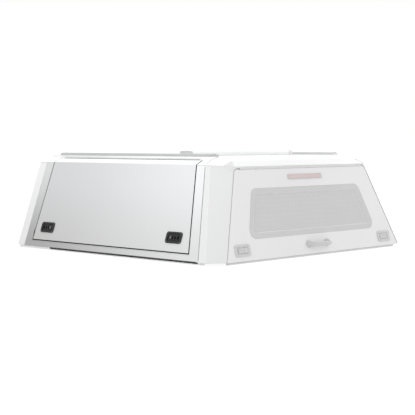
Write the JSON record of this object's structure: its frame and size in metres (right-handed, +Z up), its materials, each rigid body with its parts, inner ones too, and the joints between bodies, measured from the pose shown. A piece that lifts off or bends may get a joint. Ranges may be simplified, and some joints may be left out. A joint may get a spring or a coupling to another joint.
{
  "type": "pickup truck canopy",
  "caption": "Hard canopy for a pickup truck bed, with leaning folded walls, gullwing side doors, a lifting rear door with window, roof rails and a roof bar.",
  "frame": {"origin": "on the plane of the base seals' underside, at the middle of the whole part's width and length", "axes": "+X is the truck's right, +Y points to the cab, +Z is up; the rear door is at -Y"},
  "size_m": [1.6, 1.6928, 0.5588],
  "materials": {
    "white_paint": "glossy white paint on folded steel sheet",
    "door_paint": "satin silver white paint on folded steel sheet",
    "black_metal": "black powder coat on metal",
    "black_plastic": "fine grained black plastic",
    "black_rubber": "black rubber section",
    "tinted_glass": "dark tinted glass",
    "lamp_red": "clear red lamp lens"
  },
  "bodies": {
    "shell": {"base_seal": "black_rubber", "front_corner_post_left": "white_paint", "front_corner_post_right": "white_paint", "front_panel": "white_paint", "front_window_glass": "tinted_glass", "front_window_seal": "black_rubber", "rear_corner_post_left": "white_paint", "rear_corner_post_right": "white_paint", "rear_door_hinge": "black_metal", "rear_header": "white_paint", "roof_bar_cap_left": "black_plastic", "roof_bar_cap_right": "black_plastic", "roof_cross_bar": "white_paint", "roof_panel": "white_paint", "roof_rail_left": "black_metal", "roof_rail_right": "black_metal", "side_door_hinge_left": "black_metal", "side_door_hinge_right": "black_metal", "side_door_seal_left": "black_rubber", "side_door_seal_right": "black_rubber", "side_frame_left": "door_paint", "side_frame_right": "door_paint", "side_edge_trim_left": "black_rubber", "side_edge_trim_right": "black_rubber"},
    "left_door": {"side_door_left": "door_paint", "latch_housing_side_left_front": "black_plastic", "latch_housing_side_left_rear": "black_plastic"},
    "right_door": {"side_door_right": "door_paint", "latch_housing_side_right_front": "black_plastic", "latch_housing_side_right_rear": "black_plastic"},
    "rear_door": {"rear_door": "white_paint", "rear_window_seal": "black_rubber", "rear_window_glass": "tinted_glass", "brake_lamp_housing": "black_plastic", "brake_lamp_lens": "lamp_red", "rear_handle": "black_plastic", "rear_door_bottom_seal": "black_rubber", "latch_housing_rear_left": "black_plastic", "latch_housing_rear_right": "black_plastic"},
    "paddle_rear_left": {"latch_paddle_rear_left": "black_plastic"},
    "paddle_rear_right": {"latch_paddle_rear_right": "black_plastic"},
    "paddle_side_left_front": {"latch_paddle_side_left_front": "black_plastic"},
    "paddle_side_left_rear": {"latch_paddle_side_left_rear": "black_plastic"},
    "paddle_side_right_front": {"latch_paddle_side_right_front": "black_plastic"},
    "paddle_side_right_rear": {"latch_paddle_side_right_rear": "black_plastic"}
  },
  "joints": [
    {"name": "left_door_hinge", "type": "hinge", "parent": "shell", "child": "left_door", "pos_m": [-0.5735, 0.06094, 0.51056], "axis": [0, 1, 0], "range_deg": [0, 80]},
    {"name": "right_door_hinge", "type": "hinge", "parent": "shell", "child": "right_door", "pos_m": [0.5735, 0.06094, 0.51056], "axis": [0, -1, 0], "range_deg": [0, 80]},
    {"name": "rear_door_hinge_joint", "type": "hinge", "parent": "shell", "child": "rear_door", "pos_m": [0, -0.70381, 0.4695], "axis": [-1, 0, 0], "range_deg": [0, 75]},
    {"name": "paddle_rear_left_pin", "type": "hinge", "parent": "rear_door", "child": "paddle_rear_left", "pos_m": [-0.596, -0.80512, 0.07742], "axis": [-1, 0, 0], "range_deg": [0, 35], "stiffness_Nm_per_rad": 0.05},
    {"name": "paddle_side_left_front_pin", "type": "hinge", "parent": "left_door", "child": "paddle_side_left_front", "pos_m": [-0.75758, 0.53294, 0.13421], "axis": [0, 1, 0], "range_deg": [0, 35], "stiffness_Nm_per_rad": 0.05},
    {"name": "paddle_side_left_rear_pin", "type": "hinge", "parent": "left_door", "child": "paddle_side_left_rear", "pos_m": [-0.75758, -0.48906, 0.13421], "axis": [0, 1, 0], "range_deg": [0, 35], "stiffness_Nm_per_rad": 0.05},
    {"name": "paddle_rear_right_pin", "type": "hinge", "parent": "rear_door", "child": "paddle_rear_right", "pos_m": [0.596, -0.80512, 0.07742], "axis": [-1, 0, 0], "range_deg": [0, 35], "stiffness_Nm_per_rad": 0.05},
    {"name": "paddle_side_right_front_pin", "type": "hinge", "parent": "right_door", "child": "paddle_side_right_front", "pos_m": [0.75758, 0.53294, 0.13421], "axis": [0, -1, 0], "range_deg": [0, 35], "stiffness_Nm_per_rad": 0.05},
    {"name": "paddle_side_right_rear_pin", "type": "hinge", "parent": "right_door", "child": "paddle_side_right_rear", "pos_m": [0.75758, -0.48906, 0.13421], "axis": [0, -1, 0], "range_deg": [0, 35], "stiffness_Nm_per_rad": 0.05}
  ]
}
